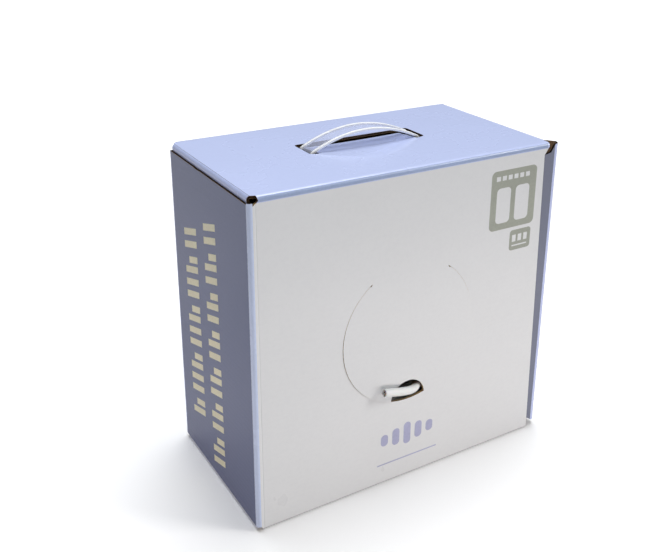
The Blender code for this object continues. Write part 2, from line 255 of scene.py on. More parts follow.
def printed(name, colour, cloud, gloss=0.28):
    """Clay-coated printed liner under varnish: faint clouding, print mottle and fine grain."""
    p = Paint(name, Specular_IOR_Level=0.5, Coat_Weight=0.35, Coat_Roughness=0.14)
    darker, paler = shade(colour, 1 - cloud), shade(colour, 1 + cloud)
    clouds = p.ramp(p.noise(7.0, 2.0), (0.10, darker), (0.55, colour), (0.95, paler))
    mottle = p.ramp(p.noise(420.0, 2.0), (0.25, (0.965, 0.965, 0.97, 1)), (0.6, (1, 1, 1, 1)))
    p.colour(p.blend("MULTIPLY", 0.6, clouds, mottle))
    p.rough(p.spread(p.noise(30.0, 3.0), gloss - 0.02, gloss + 0.04, 0.1, 0.9))
    p.bump(p.noise(1500.0, 2.0), 0.00002, 0.5)
    p.bump(p.noise(36.0, 1.0), 0.00005, 0.2)
    return p.material


def ink(name, colour):
    p = Paint(name, Specular_IOR_Level=0.5, Coat_Weight=0.30, Coat_Roughness=0.18)
    base = p.ramp(p.noise(30.0, 3.0), (0.3, shade(colour, 0.93)), (0.7, shade(colour, 1.05)))
    dots = p.ramp(p.noise(700.0, 1.0), (0.3, (0.90, 0.90, 0.90, 1)), (0.6, (1, 1, 1, 1)))
    p.colour(p.blend("MULTIPLY", 0.7, base, dots))
    p.rough(p.spread(p.noise(60.0, 3.0), 0.30, 0.42))
    p.bump(p.noise(1500.0, 2.0), 0.00002, 0.5)
    return p.material


def kraft(name, colour, depth=0.00006):
    """Unbleached paper: long fibres, flecks and a soft uneven surface."""
    p = Paint(name, Specular_IOR_Level=0.25, Sheen_Weight=0.15)
    fibres = p.noise(260.0, 5.0, 0.65, p.stretched((0.22, 1.0, 1.0)))
    base = p.ramp(fibres, (0.28, shade(colour, 0.78)), (0.55, colour), (0.80, shade(colour, 1.22)))
    flecks = p.ramp(p.noise(900.0, 1.0), (0.22, shade(colour, 0.55)), (0.32, (1, 1, 1, 1)))
    p.colour(p.blend("MULTIPLY", 0.5, base, flecks))
    p.rough(p.spread(fibres, 0.78, 0.94))
    p.bump(fibres, depth, 0.8)
    return p.material


WAVE_UNIT = 20.0  # radians that a wave texture turns through in one metre at scale 1


def fluting(name, colour):
    """Cut edge of the corrugated core: darker, with the waves of the medium showing as stripes
    whose dark bands are painted shade in the hollow flutes.
    """
    p = Paint(name, Specular_IOR_Level=0.15)
    turns = p.wave(math.tau / FLUTE_PITCH / WAVE_UNIT, "Z", 0.6)
    # The dark bands are painted shade in the hollow flutes between the waves of the medium.
    flute_shade_stripes = p.ramp(turns, (0.25, shade(colour, 0.45)), (0.75, shade(colour, 1.15)))
    grain = p.ramp(p.noise(800.0, 3.0), (0.3, (0.75, 0.75, 0.75, 1)), (0.7, (1, 1, 1, 1)))
    p.colour(p.blend("MULTIPLY", 0.8, flute_shade_stripes, grain))
    p.rough(p.spread(p.noise(500.0), 0.85, 0.98))
    p.bump(turns, 0.0003, 0.7)
    return p.material


def plastic(name, colour, rough=0.36, depth=0.00004, **constants):
    p = Paint(name, **constants)
    tone = p.ramp(p.noise(22.0, 3.0), (0.3, shade(colour, 0.95)), (0.7, shade(colour, 1.03)))
    p.colour(tone)
    p.rough(p.spread(p.noise(110.0, 4.0), rough - 0.06, rough + 0.09))
    p.bump(p.noise(650.0, 3.0), depth, 0.6)
    return p.material


def fibreboard(name, colour):
    p = Paint(name, Specular_IOR_Level=0.3)
    chips = p.noise(320.0, 6.0, 0.7)
    base = p.ramp(chips, (0.25, shade(colour, 0.62)), (0.5, colour), (0.8, shade(colour, 1.35)))
    wide = p.ramp(p.noise(14.0, 3.0), (0.3, (0.86, 0.84, 0.82, 1)), (0.7, (1, 1, 1, 1)))
    p.colour(p.blend("MULTIPLY", 0.8, base, wide))
    p.rough(p.spread(chips, 0.66, 0.88))
    p.bump(chips, 0.00012, 0.7)
    return p.material


def woven(name, colour):
    """Woven polyester band: two crossed sets of threads."""
    p = Paint(name, Specular_IOR_Level=0.5, Sheen_Weight=0.2)
    warp, weft = p.wave(260.0, "DIAGONAL"), p.wave(190.0, "Y")
    threads = p.blend("MULTIPLY", 1.0, warp, weft)
    p.colour(p.ramp(threads, (0.0, shade(colour, 0.74)), (0.6, colour)))
    p.rough(p.spread(p.noise(300.0), 0.42, 0.6))
    p.bump(threads, 0.00012, 0.8)
    return p.material


WHITE_BOARD = printed("white_board", srgb(229, 231, 232), 0.02)
LAVENDER_BOARD = printed("lavender_board", srgb(200, 211, 248), 0.02, 0.26)
# Paler copy of the lid's lavender for the rounded corner folds: a painted highlight where the
# folds catch the light.
HIGHLIGHT_FOLD_BOARD = printed("fold_lavender_board_painted_highlight", srgb(214, 227, 255), 0.02, 0.26)
# Darker, greyer copy of the lid's lavender for the end panels: painted shade for the end panel on
# the dim side.
SHADED_END_BOARD = printed("end_lavender_board_painted_shade", srgb(108, 116, 150), 0.04, 0.24)
# Darker grey-lavender for the right tuck flap: painted shade and a painted dark reflection from
# its gloss.
SHADED_TUCK_BOARD = printed("tuck_lavender_board_painted_shade", srgb(122, 127, 146), 0.04, 0.24)
KRAFT = kraft("kraft_liner", srgb(176, 140, 98))
CUT_LINER = kraft("cut_liner", srgb(206, 178, 132), 0.00010)
CORE = fluting("flute_core", srgb(190, 154, 100))
# Darker cut liner and core for the lavender boards' cut edges: painted shade, for edges that sit
# in shadow, such as the hand hole's back edge.
SHADE_PAINTED_LINER = kraft("cut_liner_painted_shade", srgb(122, 94, 62), 0.00010)
SHADE_PAINTED_CORE_EDGE = fluting("flute_core_painted_shade", srgb(74, 56, 40))
SHADED_EDGE = fluting("shaded_flute_core", srgb(50, 41, 34))
BOARD_WHITE = (WHITE_BOARD, KRAFT, CUT_LINER, CORE)
BOARD_LAVENDER = (LAVENDER_BOARD, KRAFT, SHADE_PAINTED_LINER, SHADE_PAINTED_CORE_EDGE)
BOARD_FOLD_PAINTED_LIGHT = (HIGHLIGHT_FOLD_BOARD, KRAFT, SHADED_EDGE, SHADED_EDGE)
BOARD_CORNER = (LAVENDER_BOARD, KRAFT, SHADED_EDGE, SHADED_EDGE)
BOARD_TUCK_SHADED = (SHADED_TUCK_BOARD, KRAFT, SHADED_EDGE, SHADED_EDGE)
BOARD_END_SHADED = (SHADED_END_BOARD, KRAFT, SHADE_PAINTED_LINER, SHADE_PAINTED_CORE_EDGE)
BADGE_INK = ink("badge_ink", srgb(168, 172, 160))
MARK_INK = ink("mark_ink", srgb(180, 182, 212))
# Darker blue-lavender for the band on the lid's front fold: painted shade over the wrapped print.
WRAP_SHADE_INK = ink("wrap_ink_painted_shade", srgb(162, 179, 214))
CREAM_INK = ink("cream_ink", srgb(236, 232, 200))
RAIL_PLASTIC = plastic("rail_plastic", srgb(250, 251, 252), 0.30)
WEB_PLASTIC = plastic("web_plastic", srgb(214, 220, 244), 0.22, Alpha=0.30, Coat_Weight=0.3)
JACKET = plastic("cable_jacket", srgb(238, 238, 236), 0.40, Subsurface_Weight=0.1)
COPPER = plastic("copper", srgb(200, 120, 70), 0.30, Metallic=1.0)
# Near-black face closing the bore behind the conductor ends: painted shade deep inside the cable's
# cut end.
SHADE_PAINTED_CORE = plastic("jacket_inside_painted_shade", srgb(52, 50, 50), 0.7)
FIBREBOARD = fibreboard("fibreboard", srgb(176, 146, 108))
BAND = woven("tie_band", srgb(240, 240, 232))
FILM = plastic("stretch_film", srgb(225, 232, 238), 0.16, Alpha=0.30, Coat_Weight=0.4)
SEAL = plastic("band_seal", srgb(208, 210, 206), 0.45)


# ------------------------ mesh tools
def add_object(name, data, body):
    piece = bpy.data.objects.new(name, data)
    bpy.context.scene.collection.objects.link(piece)
    if body:
        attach(piece, body)
    return piece


def finish_mesh(name, bm, materials, sharp=32.0):
    """Outward normals, smooth faces and sharp edges past an angle, as one mesh."""
    bmesh.ops.recalc_face_normals(bm, faces=bm.faces[:])
    limit = math.radians(sharp)
    for face in bm.faces:
        face.smooth = True
    for edge in bm.edges:
        if len(edge.link_faces) == 2 and edge.calc_face_angle(0.0) > limit:
            edge.smooth = False
    mesh = bpy.data.meshes.new(name)
    bm.to_mesh(mesh)
    bm.free()
    for material in materials:
        mesh.materials.append(material)
    return mesh


def arc(centre, radius, start, end, steps=12):
    turn = np.linspace(start, end, steps + 1)
    return [(centre[0] + radius * math.cos(a), centre[1] + radius * math.sin(a)) for a in turn]


def rounded(x0, y0, x1, y1, radius, steps=6):
    quarter = math.pi / 2
    return (
        arc((x1 - radius, y0 + radius), radius, -quarter, 0, steps)
        + arc((x1 - radius, y1 - radius), radius, 0, quarter, steps)
        + arc((x0 + radius, y1 - radius), radius, quarter, 2 * quarter, steps)
        + arc((x0 + radius, y0 + radius), radius, 2 * quarter, 3 * quarter, steps)
    )


def steps_between(low, high, pitch):
    return list(np.arange(low, high + pitch / 2, pitch))


class Fold:
    """The outer face of a bent board, seen along the bend: straight runs joined by round corners.

    The board lies across one axis; depth counts from the outer face towards side, which is 1
    for the left of the way travelled and -1 for the right.
    """

    def __init__(self, axis, side, corners, radii):
        self.axis, self.side = axis, side
        corners = [np.array(c, float) for c in corners]
        self.runs, self.start, self.end = [], [], []
        at, here = 0.0, corners[0]
        for i, radius in enumerate(radii, start=1):
            into = (corners[i] - corners[i - 1]) / np.linalg.norm(corners[i] - corners[i - 1])
            out = (corners[i + 1] - corners[i]) / np.linalg.norm(corners[i + 1] - corners[i])
            turn = math.atan2(into[0] * out[1] - into[1] * out[0], float(into @ out))
            begin = corners[i] - into * radius * math.tan(abs(turn) / 2)
            length = float(np.linalg.norm(begin - here))
            self.runs.append((at, length, here, into, 0.0, 0.0))
            at += length
            self.start.append(at)
            self.runs.append((at, radius * abs(turn), begin, into, turn, radius))
            at += radius * abs(turn)
            self.end.append(at)
            here = corners[i] + out * radius * math.tan(abs(turn) / 2)
        last = corners[-1] - here
        self.length = at + float(np.linalg.norm(last))
        self.runs.append((at, self.length - at, here, last / np.linalg.norm(last), 0.0, 0.0))

    def place(self, s, across, depth):
        run = [r for r in self.runs if s >= r[0] - 1e-9] or [self.runs[0]]
        at, length, here, way, turn, radius = run[-1]
        if radius:
            angle = turn * (s - at) / length
            left = np.array((-way[1], way[0])) * math.copysign(1, turn)
            centre = here + left * radius
            cos, sin = math.cos(angle), math.sin(angle)
            spin = np.array(((cos, -sin), (sin, cos)))
            point, way = centre + spin @ (here - centre), spin @ way
        else:
            point = here + way * (s - at)
        inward = np.array((-way[1], way[0])) * self.side
        a, b = point + inward * depth
        return ((across, a, b), (a, across, b), (a, b, across))[self.axis]

    def cuts(self):
        """Where a board on this line needs edges: eight steps round each corner."""
        out = []
        for start, end in zip(self.start, self.end):
            out += list(np.linspace(start, end, 9))
        return out


RAW_EDGE = (
    (0.0, 0.0),
    (LINER, 0.0),
    (LINER, CORE_RECESS),
    (BOARD - LINER, CORE_RECESS),
    (BOARD - LINER, 0.0),
    (BOARD, 0.0),
)
INK_EDGE = ((-0.00004, 0.0), (0.00003, 0.0))


def flat_cells(outlines, cuts_s, cuts_t):
    """A flat mesh of the outline less its holes, with extra edges along the two sets of cuts."""
    loops = [[Vector((s, t, 0)) for s, t in line] for line in outlines]
    points = [p for line in loops for p in line]
    bm = bmesh.new()
    verts = [bm.verts.new(p) for p in points]
    for corners in tessellate_polygon(loops):
        if len(set(corners)) == 3:
            bm.faces.new([verts[i] for i in corners])
    low = [min(p[k] for p in points) for k in (0, 1)]
    high = [max(p[k] for p in points) for k in (0, 1)]
    for k, cuts in enumerate((cuts_s, cuts_t)):
        way = Vector((1, 0, 0)) if k == 0 else Vector((0, 1, 0))
        for cut in sorted(set(round(float(c), 7) for c in cuts)):
            if low[k] + 1e-6 < cut < high[k] - 1e-6:
                geom = bm.verts[:] + bm.edges[:] + bm.faces[:]
                bmesh.ops.bisect_plane(bm, geom=geom, dist=1e-7, plane_co=way * cut, plane_no=way)
    for face in bm.faces:
        if face.normal.z < 0:
            face.normal_flip()
    return bm


def board(
    name, fold, outlines, materials, body,
    cuts=(), cross=(), lift=None, edge=RAW_EDGE, slot=LAVENDER_SLOT, bend=True,
):
    """Folded sheet board; outlines are loops of (along the fold line, across it), the rim first.

    The materials are the outer liner, the inner liner, the liners' cut edges and the core's.
    """
    flat = flat_cells(outlines, list(cuts) + (fold.cuts() if bend else []), cross)
    flat.verts.index_update()
    spots = [(v.co.x, v.co.y) for v in flat.verts]
    rim = {}
    for e in flat.edges:
        if len(e.link_loops) == 1:
            a, b = e.link_loops[0].vert.index, e.link_loops[0].link_loop_next.vert.index
            rim[a] = b
    before = {b: a for a, b in rim.items()}
    outward = {}
    for v in rim:
        here, ahead, behind = (np.array(spots[k]) for k in (v, rim[v], before[v]))
        sides = [d / max(np.linalg.norm(d), 1e-9) for d in (ahead - here, here - behind)]
        normal = np.array((sides[0][1] + sides[1][1], -sides[0][0] - sides[1][0]))
        outward[v] = normal / max(np.linalg.norm(normal), 1e-9)
    lift = lift or (lambda s, t: 0.0)
    bm = bmesh.new()
    layers = []
    for level, (depth, recess) in enumerate(edge):
        face_layer = level in (0, len(edge) - 1)
        layer = {}
        for v in range(len(spots)) if face_layer else rim:
            s, t = spots[v]
            if recess:
                s, t = s - outward[v][0] * recess, t - outward[v][1] * recess
            layer[v] = bm.verts.new(fold.place(s, t, depth + lift(*spots[v])))
        layers.append(layer)
    top, bottom = layers[0], layers[-1]
    for face in flat.faces:
        ring = [v.index for v in face.verts]
        bm.faces.new([top[v] for v in ring])
        under = bm.faces.new([bottom[v] for v in reversed(ring)])
        under.material_index = min(1, len(materials) - 1)
    for level in range(len(layers) - 1):
        upper, lower = layers[level], layers[level + 1]
        core = len(edge) > 2 and level == 2
        for a, b in rim.items():
            wall = bm.faces.new((upper[a], lower[a], lower[b], upper[b]))
            wall.material_index = min(3 if core else 2, len(materials) - 1)
    flat.free()
    return add_object(name, finish_mesh(name, bm, materials), body)


def printing(name, fold, outlines_list, material, body, **more):
    """Ink on a board: each group of loops is one filled shape, all in one thin mesh."""
    parts = [
        board(
            name + "_part", fold, outlines, (material,), body,
            edge=INK_EDGE, slot=None, bend=False, **more,
        )
        for outlines in outlines_list
    ]
    bm = bmesh.new()
    for part in parts:
        bm.from_mesh(part.data)
        bpy.data.objects.remove(part)
    return add_object(name, finish_mesh(name, bm, (material,)), body)


def skin(bm, rings):
    """Faces between each ring of points and the next."""
    for one, two in zip(rings, rings[1:]):
        for i in range(len(one)):
            j = (i + 1) % len(one)
            bm.faces.new((one[i], one[j], two[j], two[i]))


def sweep(name, path, section, material, body, side=(0, 1, 0)):
    """A closed solid: section, a loop of (sideways, up) points, drawn along a path."""
    path = np.array(path, float)
    ways = np.gradient(path, axis=0)
    ways /= np.linalg.norm(ways, axis=1)[:, None]
    across = np.array(side, float)
    bm = bmesh.new()
    rings = []
    for point, way in zip(path, ways):
        across = across - way * (across @ way)
        across /= np.linalg.norm(across)
        up = np.cross(across, way)
        rings.append([bm.verts.new(point + across * a + up * b) for a, b in section])
    skin(bm, rings)
    bm.faces.new(rings[0][::-1])
    bm.faces.new(rings[-1])
    return add_object(name, finish_mesh(name, bm, (material,), 50.0), body)


def soft_block(name, middle, half, radius, material, body):
    bm = bmesh.new()
    bmesh.ops.create_cube(bm, size=1.0)
    for v in bm.verts:
        v.co = 2 * v.co * half + middle
    bmesh.ops.bevel(bm, geom=bm.edges[:], offset=radius, segments=3, profile=0.5, affect="EDGES")
    return add_object(name, finish_mesh(name, bm, (material,), 60.0), body)


def smooth_route(points, steps):
    """Evenly spaced points on the natural cubic spline through a route's points."""
    points = np.array(points)
    knots = np.concatenate([[0], np.cumsum(np.linalg.norm(np.diff(points, axis=0), axis=1))])
    gaps = np.diff(knots)
    count = len(points)
    system, right = np.eye(count), np.zeros((count, 3))
    for i in range(1, count - 1):
        system[i, i - 1 : i + 2] = gaps[i - 1], 2 * (gaps[i - 1] + gaps[i]), gaps[i]
        slopes = np.diff(points[i - 1 : i + 2], axis=0) / gaps[i - 1 : i + 1, None]
        right[i] = 6 * (slopes[1] - slopes[0])
    bend = np.linalg.solve(system, right)
    route = []
    for at in np.linspace(0, knots[-1], steps + 1):
        i = min(np.searchsorted(knots, at, side="right") - 1, count - 2)
        before, after, gap = at - knots[i], knots[i + 1] - at, gaps[i]
        cubic = (bend[i] * after**3 + bend[i + 1] * before**3) / (6 * gap)
        linear = (points[i] / gap - bend[i] * gap / 6) * after
        linear += (points[i + 1] / gap - bend[i + 1] * gap / 6) * before
        route.append(cubic + linear)
    return np.array(route)


# ------------------------ folded tube of board
BACK_LOW, GLUE_Y = 0.0006, 0.0591
TUBE = Fold(
    0,
    1,
    (
        (BACK, BACK_LOW), (BACK, HEIGHT), (FRONT, HEIGHT), (FRONT, 0.0),
        (GLUE_Y, 0.0), (GLUE_Y, 0.0200),
    ),
    (FOLD_RADIUS, FOLD_RADIUS, FOLD_RADIUS, 0.0022),
)
BACK_TOP = TUBE.start[0] - FOLD_MARGIN - 0.002  # where the back ends and the lid begins
SHORT_LEFT, SHORT_RIGHT = LEFT + FOLD_RADIUS, LID_RIGHT + 0.0006 - FOLD_RADIUS
WRAP_Z = HEIGHT - 0.0036  # where the lid's colour stops on the front
CREASE_X, CREASE_DEPTH, CREASE_WIDTH = -0.1068, 0.00018, 0.00035


def on_front(z):
    return TUBE.end[1] + (HEIGHT - FOLD_RADIUS - z)


def on_lid(y):
    return TUBE.end[0] + (BACK - FOLD_RADIUS - y)


def on_back(z):
    return z - BACK_LOW


def on_bottom(y):
    return TUBE.end[2] + (y - FRONT - FOLD_RADIUS)


def front_loop(points):
    return [(on_front(z), x) for x, z in points]


def lid_loop(points):
    return [(on_lid(y), x) for x, y in points]


def front_z(s):
    return HEIGHT - FOLD_RADIUS - (s - TUBE.end[1])


RIB_PITCH = FLUTE_PITCH / 4
RIB_CUTS = [on_front(z) for z in steps_between(0.003, WRAP_Z - 0.0005, RIB_PITCH)]


def washboard(at, low, high, depth):
    """The liner sinks a little between the flutes, and not at all at the panel's edges."""
    edge = min(1.0, max(0.0, min(at - low, high - at) / 0.004))
    return depth * edge * (1 - math.cos(math.tau * at / FLUTE_PITCH))


def ribs(s):
    return washboard(front_z(s), 0.003, WRAP_Z, 0.000015)


def front_lift(s, x):
    """The ribs, and the fine crease beside the left fold."""
    return ribs(s) + CREASE_DEPTH * math.exp(-(((x - CREASE_X) / CREASE_WIDTH) ** 2))


def disc_rim(gap, chord_z):
    """The disc's outline with its notch at the bottom, cut off straight at the fold."""
    radius = DISC_RADIUS - gap
    half = math.acos((chord_z - DISC_Z) / radius)
    meet = DISC_Z - NOTCH_Z
    reach = (radius**2 + meet**2 - NOTCH_RADIUS**2) / (2 * radius * meet)
    notch = math.acos(reach)
    down = -math.pi / 2
    right = arc((DISC_X, DISC_Z), radius, down + notch, math.pi / 2 - half, 40)
    left = arc((DISC_X, DISC_Z), radius, math.pi / 2 + half, 3 * math.pi / 2 - notch, 40)
    angle = math.atan2(right[0][1] - NOTCH_Z, right[0][0] - DISC_X)
    inner = arc((DISC_X, NOTCH_Z), NOTCH_RADIUS + gap, math.pi - angle, angle, 20)
    return right + left + inner[1:-1]


def hole_rim(chord_z):
    """The opening in the front: the disc's circle, closed along the fold."""
    top = math.asin((chord_z - DISC_Z) / DISC_RADIUS)
    return arc((DISC_X, DISC_Z), DISC_RADIUS, math.pi - top, math.tau + top, 96)


def bulge(x, z):
    """The pressed-out disc stands a little proud of the front, most of all low on its right."""
    reach = min(1.0, max(0.0, (DISC_FOLD_Z - z) / 0.06))
    radius = math.hypot(x - DISC_X, z - DISC_Z) / DISC_RADIUS
    return (0.0008 * reach * reach * (3 - 2 * reach)) * (1.15 - 0.55 * radius**2)


def disc_lift(s, x):
    return ribs(s) - bulge(x, front_z(s))


STRIP = 0.0014  # height of the folded strip above the disc


def build_front():
    top, low = on_front(WRAP_Z), TUBE.end[2] + FOLD_MARGIN
    wide = -WALL_EDGE
    rim = [
        (top, -0.1062), (on_front(0.2148), wide),
        (on_front(0.0030), wide), (TUBE.start[2], wide + 0.0006),
        (low, wide + 0.0020), (low, RAW_RIGHT_LOW - 0.0004),
        (TUBE.start[2], RAW_RIGHT_LOW), (on_front(0.2120), RAW_RIGHT_HIGH),
        (top, LID_CORNER - 0.0008),
    ]
    half = math.sqrt(DISC_RADIUS**2 - (DISC_FOLD_Z - DISC_Z) ** 2)
    opening = hole_rim(DISC_FOLD_Z)
    crease_cuts = [CREASE_X + k * 0.00025 for k in range(-4, 5)]
    front = board(
        "front_board", TUBE, [rim, front_loop(opening)], BOARD_WHITE, "carton",
        cuts=RIB_CUTS, cross=crease_cuts, lift=front_lift, slot=WHITE_SLOT,
    )
    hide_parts("front_panel")

    fold_strip = [
        (DISC_X + half - 0.0003, DISC_FOLD_Z), (DISC_X - half + 0.0003, DISC_FOLD_Z),
        (DISC_X - half - 0.0004, DISC_FOLD_Z - STRIP),
        (DISC_X + half + 0.0004, DISC_FOLD_Z - STRIP),
    ]
    bridge = board(
        "disc_hinge_strip", TUBE, [front_loop(fold_strip)], BOARD_WHITE, None,
        cuts=RIB_CUTS + [on_front(DISC_FOLD_Z - STRIP * k / 6) for k in range(7)],
        cross=steps_between(-0.028, 0.028, 0.004), lift=disc_lift, slot=WHITE_SLOT,
    )
    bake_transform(bridge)

    grid = steps_between(-0.048, 0.048, 0.004)
    door = board(
        "disc_board", TUBE, [front_loop(disc_rim(DISC_CUT, DISC_FOLD_Z - STRIP))],
        BOARD_WHITE, "access_disc", cuts=RIB_CUTS, cross=grid, lift=disc_lift, slot=WHITE_SLOT,
    )
    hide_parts("access_disc")


# ------------------------ hand hole in the lid
HOLE_FRONT, HOLE_BACK, HOLE_HALF = -0.0073, 0.0154, 0.0435
FLAP_HALF, FLAP_BACK = 0.0370, 0.0142
DISH_REACH, DISH_HALF, DISH_DEPTH, DISH_Y = 0.0236, 0.0412, 0.0011, -0.0070
FLAP_SLOPE = 0.085


def lid_lift(s, x):
    """Round the hand hole the lid is pressed in, out to a curved crease."""
    y = BACK - FOLD_RADIUS - (s - TUBE.end[0])
    share = 1 - (x / DISH_HALF) ** 2
    if share <= 0:
        return 0.0
    crease = -0.0068 - DISH_REACH * share
    into = (y - crease) / max(DISH_Y - crease, 1e-5)
    depth = DISH_DEPTH * share**0.5
    if y > DISH_Y:
        inside = abs(x) < FLAP_HALF + 0.0005
        return depth + (y - DISH_Y) * FLAP_SLOPE if inside and y < HOLE_BACK else 0.0
    if into <= 0:
        return 0.0
    rolled = max(0.0, into - 0.06) + 0.06 * min(1.0, into / 0.12) ** 2 * 0.5
    return depth * min(1.0, rolled)


def build_lid():
    start, end, left, right = BACK_TOP, on_front(WRAP_Z), SHORT_LEFT, SHORT_RIGHT
    rim = [
        (start, -RAW_RIGHT), (start, LID_RIGHT),
        (TUBE.start[0], LID_RIGHT), (TUBE.end[0], 0.1078),
        (on_lid(0.0560), right), (on_lid(-0.0560), right),
        (TUBE.start[1], LID_CORNER + 0.0002), (TUBE.end[1], LID_CORNER),
        (end, LID_CORNER - 0.0008), (end, -0.1062),
        (TUBE.end[1], -0.1050), (TUBE.start[1], -0.1056),
        (on_lid(-0.0575), left), (on_lid(0.0560), left),
        (TUBE.end[0], -0.1062), (TUBE.start[0], -RAW_RIGHT),
    ]
    hole = rounded(-HOLE_HALF, HOLE_FRONT, HOLE_HALF, HOLE_BACK, 0.0022, 4)
    rows = [on_lid(y) for y in steps_between(-0.0320, -0.0060, 0.0010)]
    rows += [on_lid(y) for y in steps_between(-0.056, 0.056, 0.008)]
    columns = steps_between(-0.0425, 0.0425, 0.0025) + steps_between(-0.104, 0.104, 0.013)
    lid = board(
        "lid_board", TUBE, [rim, lid_loop(hole)], BOARD_LAVENDER, "carton",
        cuts=rows, cross=columns, lift=lid_lift,
    )
    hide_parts("top_panel")

    flap_rim = [(-FLAP_HALF, HOLE_FRONT), (FLAP_HALF, HOLE_FRONT), (FLAP_HALF, FLAP_BACK - 0.002)]
    flap_rim += arc((FLAP_HALF - 0.002, FLAP_BACK - 0.002), 0.002, 0, math.pi / 2, 5)[1:]
    flap_rim += arc((-FLAP_HALF + 0.002, FLAP_BACK - 0.002), 0.002, math.pi / 2, math.pi, 5)
    flap = board(
        "hand_flap_board", TUBE, [lid_loop(flap_rim)], BOARD_LAVENDER, None,
        cuts=rows + [on_lid(y) for y in steps_between(-0.0073, 0.014, 0.0008)],
        cross=steps_between(-0.0375, 0.0375, 0.0025), lift=lid_lift,
    )
    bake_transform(flap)
    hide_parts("hand_flap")


def build_back_and_bottom():
    rim = [
        (0.0, -RAW_RIGHT + 0.004), (0.004, -RAW_RIGHT),
        (BACK_TOP, -RAW_RIGHT), (BACK_TOP, WALL_EDGE),
        (on_back(0.0040), WALL_EDGE), (0.0, 0.1070),
    ]
    back = board(
        "back_board", TUBE, [rim], BOARD_LAVENDER, "carton",
        cuts=[on_back(z) for z in steps_between(0.003, 0.212, RIB_PITCH)],
        lift=lambda s, x: washboard(s, 0.003, 0.212, 0.000030),
    )
    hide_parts("back_panel")

    start, end = TUBE.end[2] + FOLD_MARGIN, TUBE.end[3] + FOLD_MARGIN
    left, right = SHORT_LEFT, SHORT_RIGHT
    rim = [
        (start, -0.1065), (on_bottom(-0.0555), left),
        (on_bottom(0.0540), left), (on_bottom(0.0560), -0.0800),
        (end, -0.0800), (end, 0.1050),
        (on_bottom(0.0550), 0.1050), (on_bottom(0.0540), right),
        (on_bottom(-0.0555), right), (start, RAW_RIGHT_LOW - 0.0004),
    ]
    bottom = board("bottom_board", TUBE, [rim], BOARD_LAVENDER, "carton")
    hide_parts("bottom_panel")
    tip = TUBE.length
    rim = [
        (end, -0.0800), (tip, -0.0740),
        (tip, 0.0990), (end, 0.1050),
    ]
    layers = (KRAFT, KRAFT, CUT_LINER, CORE)
    glue = board("glue_board", TUBE, [rim], layers, "carton", slot="kraft_board")
    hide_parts("glue_flap")


# ------------------------ end panels and their flaps
END_LOW, END_HIGH = 0.0030, 0.2154
END_ROWS = steps_between(END_LOW + 0.002, END_HIGH - 0.002, RIB_PITCH)
TUCK_LOW, TUCK_HIGH = 0.0062, 0.2122
TUCK_Y = 0.0587
INSET_X, DUST_X = 0.1000, 0.1091  # where a fold's line starts, and a dust flap's outer face
RIGHT_AJAR, RIGHT_RISE = 0.0066, 0.0025  # how far out and up its free corner stands


def end_route(side):
    """From the fold along the end panel and into the tuck flap; the right one stands ajar."""
    ajar = 0.0 if side < 0 else RIGHT_AJAR
    line = ((-INSET_X, FRONT), (LEFT, FRONT), (LEFT - ajar, TUCK_Y), (-0.0831, TUCK_Y))
    corners = line if side < 0 else [(-x, -y) for x, y in line]
    return Fold(2, -1, corners, (FOLD_RADIUS, 0.0024 if side < 0 else 0.0036))


def build_end(side, word):
    route = end_route(side)
    rise = 0.0 if side < 0 else RIGHT_RISE
    body, tuck_body = word + "_end", word + "_tuck"
    turn = Vector((1, 1, 1)) if side < 0 else Vector((-1, -1, 1))

    def at(x, y, z=0.11):
        return (x * turn.x, y * turn.y, z)

    def lift(s, z):
        return washboard(z, 0.005, 0.213, 0.000022)

    rows = END_ROWS
    rim = [
        (route.start[0], END_LOW + 0.0003), (route.end[0] + FOLD_MARGIN, END_LOW),
        (route.end[0] + FOLD_MARGIN, END_HIGH), (route.end[0], END_HIGH + 0.0010),
        (route.start[0], END_HIGH + 0.0012),
    ]
    fold = board(word + "_front_fold", route, [rim], BOARD_FOLD_PAINTED_LIGHT, None, cross=rows, lift=lift)
    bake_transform(fold)

    begin, stop = route.end[0] + FOLD_MARGIN, route.start[1] - FOLD_MARGIN
    chip = begin + 0.066
    rim = [
        (begin, END_LOW), (stop, END_LOW),
        (stop, END_HIGH + rise), (stop - 0.0150, END_HIGH),
        (chip + 0.0100, END_HIGH), (chip + 0.0070, END_HIGH - 0.0003),
        (chip + 0.0020, END_HIGH - 0.0002), (chip, END_HIGH),
        (begin, END_HIGH),
    ]
    columns = list(np.linspace(begin, stop, 13)[1:-1])
    panel = board(
        word + "_end_board", route, [rim], BOARD_END_SHADED, body,
        cuts=columns, cross=rows, lift=lift, bend=False,
    )
    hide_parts(word + "_end_panel")

    rim = [
        (stop, END_LOW), (route.end[1], END_LOW + 0.0004),
        (route.end[1] + FOLD_MARGIN, END_LOW + 0.0010),
        (route.end[1] + FOLD_MARGIN, END_HIGH + rise - 0.0010),
        (route.end[1], END_HIGH + rise - 0.0004), (stop, END_HIGH + rise),
    ]
    fold = board(word + "_tuck_fold", route, [rim], BOARD_CORNER, None, cross=rows, lift=lift)
    route.place(route.start[1], 0.11, 0.0)
    route.place(route.end[1], 0.11, 0.0)
    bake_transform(fold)

    tip, taper = route.length, 0.008
    begin = route.end[1] + FOLD_MARGIN
    rim = [(begin, END_LOW + 0.0010), (begin + 0.0030, TUCK_LOW)]
    rim += arc((tip - taper, TUCK_LOW + 1.5 * taper), taper, -math.pi / 2, 0, 8)
    rim += arc((tip - taper, TUCK_HIGH - 1.5 * taper), taper, 0, math.pi / 2, 8)
    rim += [(begin + 0.0030, TUCK_HIGH), (begin, END_HIGH + rise - 0.0010)]
    tuck = board(
        word + "_tuck_board", route, [rim], BOARD_TUCK_SHADED, tuck_body,
        cross=rows, lift=lift, bend=False,
    )
    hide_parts(word + "_tuck_flap")


